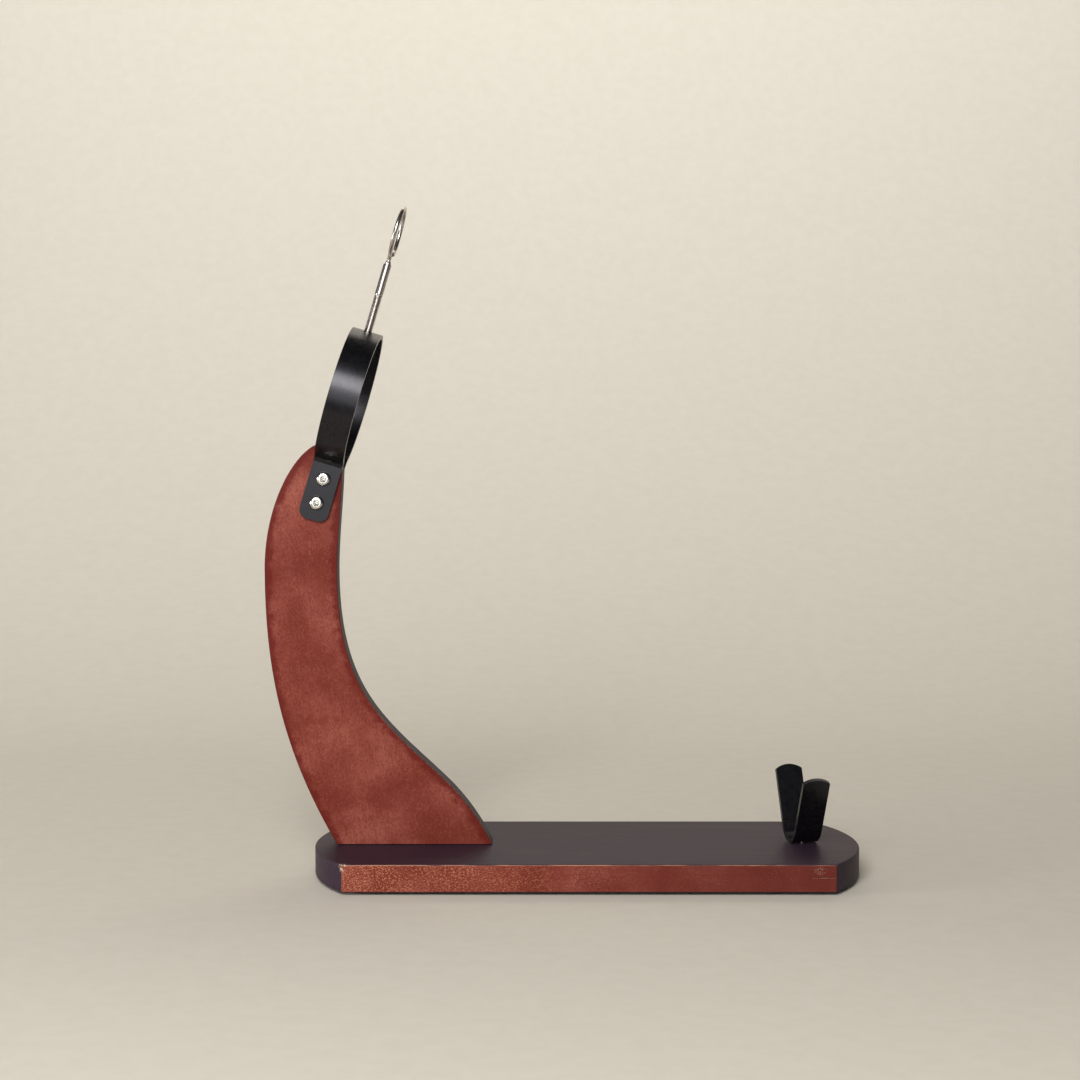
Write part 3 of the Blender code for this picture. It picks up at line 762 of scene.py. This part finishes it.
def upright_fixings():
    root = WOOD_SCREW_RADIUS - WOOD_SCREW_PITCH * THREAD_DEPTH_PER_PITCH
    high = WOOD_SCREW_LENGTH - WOOD_SCREW_SHANK
    # The thread's own frame points from the tip to the head, which faces down
    head = [(WOOD_SCREW_RADIUS, WOOD_SCREW_LENGTH - WOOD_SCREW_HEAD_DEPTH),
            (WOOD_SCREW_HEAD_RADIUS, WOOD_SCREW_LENGTH - WOOD_SCREW_HEAD_RIM),
            (WOOD_SCREW_HEAD_RADIUS - 0.0002, WOOD_SCREW_LENGTH), (0, WOOD_SCREW_LENGTH)]
    tip = [(root * share, height) for share, height in WOOD_SCREW_TIP]
    for number, x in enumerate(UPRIGHT_SCREW_X, 1):
        node = f"upright_screw_{number}"
        shape = threaded(WOOD_SCREW_RADIUS, WOOD_SCREW_PITCH, WOOD_SCREW_THREAD_START, high, tip, head)
        foot = Matrix.Translation((BASE_CENTRE_X + x, 0, BASE_BOTTOM + GAP))
        flipped = foot @ Matrix.Translation((0, 0, WOOD_SCREW_LENGTH)) @ Matrix.Rotation(math.pi, 4, "X")
        screw = loose(node + "_steel", shape, flipped)
        carve(screw, [recess_blade(f"{node}_blade_{turn}", foot, turn) for turn in (0, 90)])
        finished(screw, node, ZINC)
    for number, x in enumerate(UPRIGHT_DOWEL_X, 1):
        node = f"upright_dowel_{number}"
        at = Matrix.Translation((BASE_CENTRE_X + x, 0, BASE_TOP))
        finished(loose(node + "_beech", fluted_dowel(), at), node, BEECH, 50)


DOWEL_FLUTES = 16
DOWEL_POINTS_PER_FLUTE = 4
DOWEL_FLUTE_DEPTH = 0.00035
DOWEL_CHAMFER = 0.0012
DOWEL_END_SHARE = 0.80


def fluted_dowel():
    """A dowel with lengthwise grooves for the glue and chamfered ends."""
    shape = bmesh.new()
    end, shoulder = DOWEL_HALF_LENGTH, DOWEL_HALF_LENGTH - DOWEL_CHAMFER
    rings = []
    for reach, height in ((DOWEL_END_SHARE, -end), (1.0, -shoulder), (1.0, shoulder), (DOWEL_END_SHARE, end)):
        ring = ring_of(shape, DOWEL_RADIUS * reach, height, DOWEL_FLUTES * DOWEL_POINTS_PER_FLUTE)
        for vert in ring[::DOWEL_POINTS_PER_FLUTE]:
            vert.co.xy *= 1 - DOWEL_FLUTE_DEPTH / DOWEL_RADIUS
        rings.append(ring)
    for lower, upper in zip(rings, rings[1:]):
        bridge(shape, lower, upper)
    shape.faces.new(rings[0])
    shape.faces.new(rings[-1])
    return shape


# A foot's outline from the middle of its underside to the middle of its top: shares of its radius and its
# height, and how far back the corner is rounded
FOOT_PROFILE = ((0, 0, 0), (0.62, 0, 0), (0.66, 0.12, 0.0002), (0.93, 0, 0.0004), (1.0, 0.55, 0.0004),
                (0.97, 1.0, 0.0003), (0, 1.0, 0))


def rubber_feet():
    for node in ("rubber_foot_left_front", "rubber_foot_left_back",
                 "rubber_foot_right_front", "rubber_foot_right_back"):
        low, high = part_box(node)
        radius = (high.x - low.x) / 2
        height = high.z - low.z
        profile = softened([(radius * out, height * up, cut) for out, up, cut in FOOT_PROFILE])
        at = Matrix.Translation(((low.x + high.x) / 2, (low.y + high.y) / 2, low.z))
        finished(loose(node + "_pad", turned(profile), at), node, RUBBER)


# ------------------------------------------------------------ steel straps

def bent_strap(name, half_rows, at, holes):
    """A steel strap from the rows of its +Y half: (y, z, half width), from its end to its middle."""
    mirrored = [(-y, z, half_width) for y, z, half_width in reversed(half_rows[:-1])]
    shape = bmesh.new()
    rows = [
        (shape.verts.new((-half_width, y, z)), shape.verts.new((half_width, y, z)))
        for y, z, half_width in half_rows + mirrored
    ]
    for (left, right), (next_left, next_right) in zip(rows, rows[1:]):
        shape.faces.new((left, right, next_right, next_left))
    strap = loose(name, shape, at)
    shell = strap.modifiers.new("Steel thickness", "SOLIDIFY")
    shell.thickness = STEEL_THICKNESS
    shell.offset = 0
    shell.use_even_offset = True
    settle(strap)
    round_edges(strap, STEEL_EDGE_ROUND)
    carve(strap, holes)
    return strap


def clamp_strap():
    half_width = HOOP_WIDTH / 2
    ring_centre = -STEEL_THICKNESS / 2 - HOOP_RADIUS
    bend_y = TAB_OFFSET + HOOP_BEND_RADIUS
    rise = math.sqrt((HOOP_RADIUS + HOOP_BEND_RADIUS) ** 2 - bend_y**2)
    bend_z = ring_centre - rise
    meeting = math.degrees(math.atan2(rise, -bend_y))

    corner = arc((0, TAB_CORNER_RADIUS), TAB_CORNER_RADIUS, -90, 0, 14)
    rows = [(TAB_OFFSET, TAB_END + rise_up, half_width - TAB_CORNER_RADIUS + reach)
            for reach, rise_up in corner]
    rows += [(y, z, half_width) for y, z in arc((bend_y, bend_z), HOOP_BEND_RADIUS, 180, meeting, 16)]
    rows += [(y, z, half_width)
             for y, z in arc((0, ring_centre), HOOP_RADIUS, meeting - 180, 90, 96)[1:]]
    holes = [m6_bore("screw_cut", HOOP_FRAME, -0.01, 0.01)]
    holes += [m6_bore(f"tab_cut_{place}", at, -0.03, 0.03) for place, at in BOLT_FRAMES.items()]
    strap = bent_strap("hoop_strap_steel", rows, HOOP_FRAME, holes)
    finished(strap, "clamp_strap", BLACK_PAINT, 30)


def cradle_strap():
    half_width = CRADLE_WIDTH / 2
    bottom_centre = STEEL_THICKNESS / 2 + CRADLE_RADIUS
    end_radius = (half_width**2 + CRADLE_END_BOW**2) / (2 * CRADLE_END_BOW)
    reach = math.asin(half_width / end_radius)
    foot_y = CRADLE_RADIUS * math.cos(CRADLE_FLARE)
    foot_z = bottom_centre - CRADLE_RADIUS * math.sin(CRADLE_FLARE)
    rows = []
    for share in (0.05, 0.15, 0.3, 0.45, 0.6, 0.75, 0.88, 1.0):
        drop = end_radius * (1 - math.cos(reach * share))
        z = CRADLE_HEIGHT - drop * math.cos(CRADLE_FLARE)
        rows.append((foot_y + (z - foot_z) * math.tan(CRADLE_FLARE), z, end_radius * math.sin(reach * share)))
    flare = math.degrees(CRADLE_FLARE)
    rows += [(y, z, half_width) for y, z in arc((0, bottom_centre), CRADLE_RADIUS, -flare, -90, 40)]
    holes = [m6_bore("stud_way_cut", CRADLE_FRAME, -0.002, 0.008)]
    strap = bent_strap("cradle_strap_steel", rows, CRADLE_FRAME, holes)
    finished(strap, "cradle_strap", BLACK_PAINT, 30)


# --------------------------------------------------------------- fasteners

NUT_BORE_RADIUS = M6_BORE_RADIUS - 0.0001
NUT_COUNTERSINK = 0.0005


def hex_nut(node, top, frame_at, material):
    """A chamfered hexagon nut with a countersunk bore."""
    flat = M6_NUT_ACROSS_FLATS / 2
    low = top - M6_NUT_HEIGHT
    chamfer = (M6_NUT_CORNER - flat) * math.tan(math.radians(30))
    nut = loose(node + "_steel", prism(M6_NUT_CORNER, low, top, 6), frame_at)
    dome = turned([(0, low), (flat, low), (M6_NUT_CORNER, low + chamfer),
                   (M6_NUT_CORNER, top - chamfer), (flat, top), (0, top)])
    carve(nut, [loose(node + "_dome", dome, frame_at)], "INTERSECT")
    sink = NUT_BORE_RADIUS + NUT_COUNTERSINK
    below, above = low - CUT_PAST, top + CUT_PAST
    bore = [(0, below), (sink + CUT_PAST, below), (sink, low), (NUT_BORE_RADIUS, low + NUT_COUNTERSINK),
            (NUT_BORE_RADIUS, top - NUT_COUNTERSINK), (sink, top), (sink + CUT_PAST, above), (0, above)]
    carve(nut, [loose(node + "_bore", turned(bore, 48), frame_at)])
    finished(nut, node, material)


def washer(node, top, frame_at):
    low = top - M6_WASHER_THICKNESS
    corners = [(M6_WASHER_RADIUS, low, 0.0002), (M6_WASHER_RADIUS, top, 0.0004),
               (M6_BORE_RADIUS, top, 0.0002), (M6_BORE_RADIUS, low, 0.0002)]
    shape = turned(softened(corners, 3), closed=True)
    finished(loose(node + "_steel", shape, frame_at), node, ZINC)


BEAD_POINTS = 96
BEAD_RADIUS = 0.0009
BEAD_SINK = 0.0003


def weld_bead():
    """The bead round the nut's top, which follows the arch's inner face."""
    reach = M6_NUT_CORNER + 0.0001
    points, swell = [], []
    for step in range(BEAD_POINTS):
        angle = math.tau * step / BEAD_POINTS
        side = reach * (0.96 + 0.03 * math.sin(7 * angle))
        y = side * math.sin(angle)
        drop = curve_drop(HOOP_INNER_RADIUS, abs(y))
        points.append((side * math.cos(angle), y, -STEEL_THICKNESS - drop - BEAD_SINK))
        swell.append(1 + 0.14 * math.sin(24 * angle) + 0.08 * math.sin(5 * angle + 1))
    bead = loose("weld_nut_bead", wire("bead", points, BEAD_RADIUS, True, swell), HOOP_FRAME)
    finished(bead, None, BLACK_PAINT, 60, body="stand")


def weld_nut():
    drop = curve_drop(HOOP_INNER_RADIUS, M6_NUT_CORNER)
    hex_nut("weld_nut", -STEEL_THICKNESS - drop - GAP, HOOP_FRAME, BLACK_PAINT)
    weld_bead()


def strap_bolts():
    """M6 button-head bolts through both tabs and the upright, with a washer and a nut behind."""
    head_base = TAB_OUTER_FACE + GAP
    head_top = head_base + BUTTON_HEAD_HEIGHT
    end = head_base - STRAP_BOLT_LENGTH
    dome = [(M6_RADIUS, head_base, 0), (BUTTON_HEAD_RADIUS - 0.0002, head_base, 0.0001),
            (BUTTON_HEAD_RADIUS, head_base + 0.0010, 0.0004),
            (BUTTON_HEAD_RADIUS * 0.82, head_top - 0.0003, 0.0010),
            (BUTTON_HEAD_RADIUS * 0.62, head_top, 0.0005), (0, head_top, 0)]
    corner = HEX_SOCKET_ACROSS_FLATS / math.sqrt(3)
    above = head_top + CUT_PAST
    for place, at in BOLT_FRAMES.items():
        node = f"strap_bolt_{place}"
        shape = threaded(M6_RADIUS, M6_PITCH, end + M6_PITCH, end + STRAP_BOLT_THREAD,
                         [(0, end + M6_PITCH * 0.75)], softened(dome, 6))
        bolt = loose(node + "_steel", shape, at)
        floor = head_top - HEX_SOCKET_DEPTH
        socket = turned([(0, floor - HEX_SOCKET_CONE), (corner, floor), (corner, above), (0, above)], 6)
        lead = turned([(0, head_top - 0.0004), (corner - 0.0003, head_top - 0.0004),
                       (corner + 0.0001, head_top), (corner + 0.0011, above), (0, above)], 48)
        carve(bolt, [loose(node + "_socket", socket, at), loose(node + "_lead", lead, at)])
        finished(bolt, node, ZINC, 28)
        washer(f"strap_washer_{place}", -head_base, at)
        nut_face = -head_base - M6_WASHER_THICKNESS - GAP
        hex_nut(f"strap_nut_{place}", nut_face, at, ZINC)


# ------------------------------------------------------------- clamp screw

def clamp_screw():
    """The threaded rod, its pointed tip, its wire ring and the weld between them."""
    turns = [math.radians(angle) for angle in range(0, 90, 15)]
    top = [(M6_RADIUS * math.cos(a), ROD_TOP - ROD_END_ROUND * (1 - math.sin(a))) for a in turns]
    top.append((0, ROD_TOP))
    low = ROD_BOTTOM + M6_PITCH / 4
    shape = threaded(M6_RADIUS, M6_PITCH, low, ROD_THREAD_TOP, [(0, ROD_BOTTOM)], top)
    rod = loose("clamp_screw_rod_steel", shape, HOOP_FRAME)
    finished(rod, "clamp_screw_rod", TURNED_STEEL, 40)

    point = ROD_BOTTOM - GAP - SPIKE_LENGTH
    relief = M6_RADIUS - TIP_RELIEF
    profile = softened([(0, ROD_BOTTOM, 0), (relief, ROD_BOTTOM, 0), (relief, ROD_BOTTOM - 0.0007, 0),
                        (M6_RADIUS, ROD_BOTTOM - 0.0009, 0.0002), (M6_RADIUS, ROD_BOTTOM - 0.0020, 0.0004),
                        (0.0003, point + 0.0006, 0.0003), (0, point, 0)])
    tip = loose("clamp_screw_tip_steel", turned(profile), HOOP_FRAME)
    finished(tip, "clamp_screw_tip", TURNED_STEEL)
    ring_handle()


RING_TURN = (-72, 262)
RING_STEPS = 108
RING_FOOT_DEPTH = 0.0004
RING_NECK_HEIGHT = 0.0022
RING_BEND_RISE = 0.0016
RING_BEND_RUN = 0.0022
# The weld round the ring's foot: its radius, and its height from the rod's top
RING_WELD_PROFILE = ((0, -0.0009), (0.0024, -0.0009), (0.0022, -0.0001), (0.0019, 0.0007), (0.0016, 0.0014),
                     (0, 0.0016))


def ring_handle():
    """One turn of round wire that rises from the rod's end and closes beside its own start."""
    turn = []
    for step in range(RING_STEPS + 1):
        share = step / RING_STEPS
        angle = math.radians(RING_TURN[0] + (RING_TURN[1] - RING_TURN[0]) * share)
        turn.append(Vector((RING_END_OFFSET * share**2, -RING_RADIUS * math.cos(angle),
                            RING_CENTRE + RING_RADIUS * math.sin(angle))))
    foot = Vector((0, 0, ROD_TOP - RING_FOOT_DEPTH))
    neck = Vector((0, 0, ROD_TOP + RING_NECK_HEIGHT))
    heading = (turn[0] - turn[1]).normalized()
    rise = neck + Vector((0, 0, RING_BEND_RISE))
    bend = interpolate_bezier(neck, rise, turn[0] + heading * RING_BEND_RUN, turn[0], 14)
    points = [foot, *bend[:-1], *turn]
    ring = loose("ring_handle_wire", wire("ring_wire", points, RING_WIRE_RADIUS), HOOP_FRAME)
    finished(ring, "ring_handle", RING_STEEL, 50)

    shape = turned([(radius, ROD_TOP + height) for radius, height in RING_WELD_PROFILE], 48)
    for vert in shape.verts:
        angle = math.atan2(vert.co.y, vert.co.x)
        vert.co.xy *= 1 + 0.05 * math.sin(5 * angle) + 0.03 * math.sin(11 * angle)
    weld = loose("ring_weld", shape, HOOP_FRAME)
    finished(weld, None, RING_STEEL, 60, body="clamp_screw")


# ------------------------------------------------------------------ cradle

def cradle_fixings():
    """A spiked stud through the cradle and the base, with its washer and nut in a pocket below."""
    inner_radius = CRADLE_RADIUS - STEEL_THICKNESS / 2
    collar_low = STEEL_THICKNESS + curve_drop(inner_radius, SPIKE_COLLAR_RADIUS) + GAP
    collar_high = collar_low + SPIKE_COLLAR_HEIGHT
    spike_top = collar_high + CRADLE_SPIKE_RISE
    stud_low = -BASE_THICKNESS - GAP + STUD_RECESS
    above = softened([(M6_RADIUS, collar_low, 0), (SPIKE_COLLAR_RADIUS, collar_low, 0.0003),
                      (SPIKE_COLLAR_RADIUS, collar_high, 0.0006), (M6_RADIUS, collar_high, 0.0005),
                      (M6_RADIUS, spike_top - 0.010, 0.0012), (0.0003, spike_top - 0.0007, 0.0003),
                      (0, spike_top, 0)])
    thread_top = stud_low + STUD_THREAD
    shape = threaded(M6_RADIUS, M6_PITCH, stud_low + M6_PITCH / 4, thread_top, [(0, stud_low)], above)
    spike = loose("cradle_spike_steel", shape, CRADLE_FRAME)
    finished(spike, "cradle_spike", TURNED_STEEL, 40)
    pocket_roof = -(BASE_THICKNESS - NUT_POCKET_DEPTH) - GAP
    washer("cradle_washer", pocket_roof - GAP, CRADLE_FRAME)
    nut_top = pocket_roof - 2 * GAP - M6_WASHER_THICKNESS
    hex_nut("cradle_nut", nut_top, CRADLE_FRAME, ZINC)


# ------------------------------------------------------------------ studio

CAMERA_PITCH = math.radians(3.9)
CAMERA_PLACE = Vector((BASE_CENTRE_X - 0.0344, -1.5775, BASE_TOP + 0.3301))
CAMERA_LENS = 72.35
CAMERA_SENSOR = 36
BACKDROP_WIDTH = 5.0
BACKDROP_FRONT = -0.8
BACKDROP_START = 0.5
BACKDROP_CURVE = 1.8
BACKDROP_HEIGHT = 4.5
AIR_COLOUR = (0.92, 0.94, 1.0, 1)
AIR_STRENGTH = 0.06
# Each light's place, what it points at, its width and height, and its power in watts
STAND_MIDDLE = (0, 0, 0.2)
LIGHTS = {
    "front_softbox": ((-0.42, -1.95, 1.30), STAND_MIDDLE, (0.9, 0.9), 42),
    "wide_fill": ((-0.25, -2.4, 0.8), STAND_MIDDLE, (2.0, 1.7), 24),
    "wall_light": ((0, 0.9, 3.4), (0, 2.2, 3.0), (3.2, 1.0), 130),
    "left_fill": ((-2.2, -0.7, 0.35), (0, 0, 0), (0.8, 0.5), 25),
}


def camera():
    lens = bpy.data.cameras.new("photo_camera")
    lens.lens = CAMERA_LENS
    lens.sensor_width = CAMERA_SENSOR
    obj = in_scene("photo_camera", lens)
    obj.location = CAMERA_PLACE
    obj.rotation_euler = (math.radians(90) - CAMERA_PITCH, 0, 0)
    bpy.context.scene.camera = obj


def backdrop():
    """A pale floor that curves up behind the stand."""
    corner = arc((BACKDROP_START, BACKDROP_CURVE), BACKDROP_CURVE, -90, 0, 32)
    line = [(BACKDROP_FRONT, 0), *corner, (BACKDROP_START + BACKDROP_CURVE, BACKDROP_HEIGHT)]
    shape = bmesh.new()
    rows = [[shape.verts.new((side * BACKDROP_WIDTH / 2, y, z)) for side in (-1, 1)] for y, z in line]
    for (left, right), (next_left, next_right) in zip(rows, rows[1:]):
        shape.faces.new((left, right, next_right, next_left))
    sweep = loose("studio_sweep", shape)
    sweep.data.shade_smooth()
    paper = Surface("pale_paper", Roughness=0.9, Specular_IOR_Level=0.1)
    fibre = paper.noise(paper.position, 60, 4, 0.6)
    paper.set("Base Color", paper.blend(paper.span(fibre, 0.3, 0.7), PAPER_LOW, PAPER_HIGH))
    sweep.data.materials.append(paper.material)


def soft_light(name, location, aim, size, power):
    light = bpy.data.lights.new(name, "AREA")
    light.shape = "RECTANGLE"
    light.size, light.size_y = size
    light.energy = power
    obj = in_scene(name, light)
    obj.location = location
    obj.rotation_euler = (Vector(aim) - Vector(location)).to_track_quat("-Z", "Y").to_euler()


def studio():
    for name, settings in LIGHTS.items():
        soft_light(name, *settings)
    world = bpy.data.worlds.new("studio_air")
    world.use_nodes = True
    background = world.node_tree.nodes["Background"]
    background.inputs["Color"].default_value = AIR_COLOUR
    background.inputs["Strength"].default_value = AIR_STRENGTH
    bpy.context.scene.world = world
    bpy.context.scene.view_settings.view_transform = "Standard"


camera()
backdrop()
studio()
base_board()
upright()
upright_fixings()
rubber_feet()
clamp_strap()
weld_nut()
strap_bolts()
clamp_screw()
cradle_strap()
cradle_fixings()
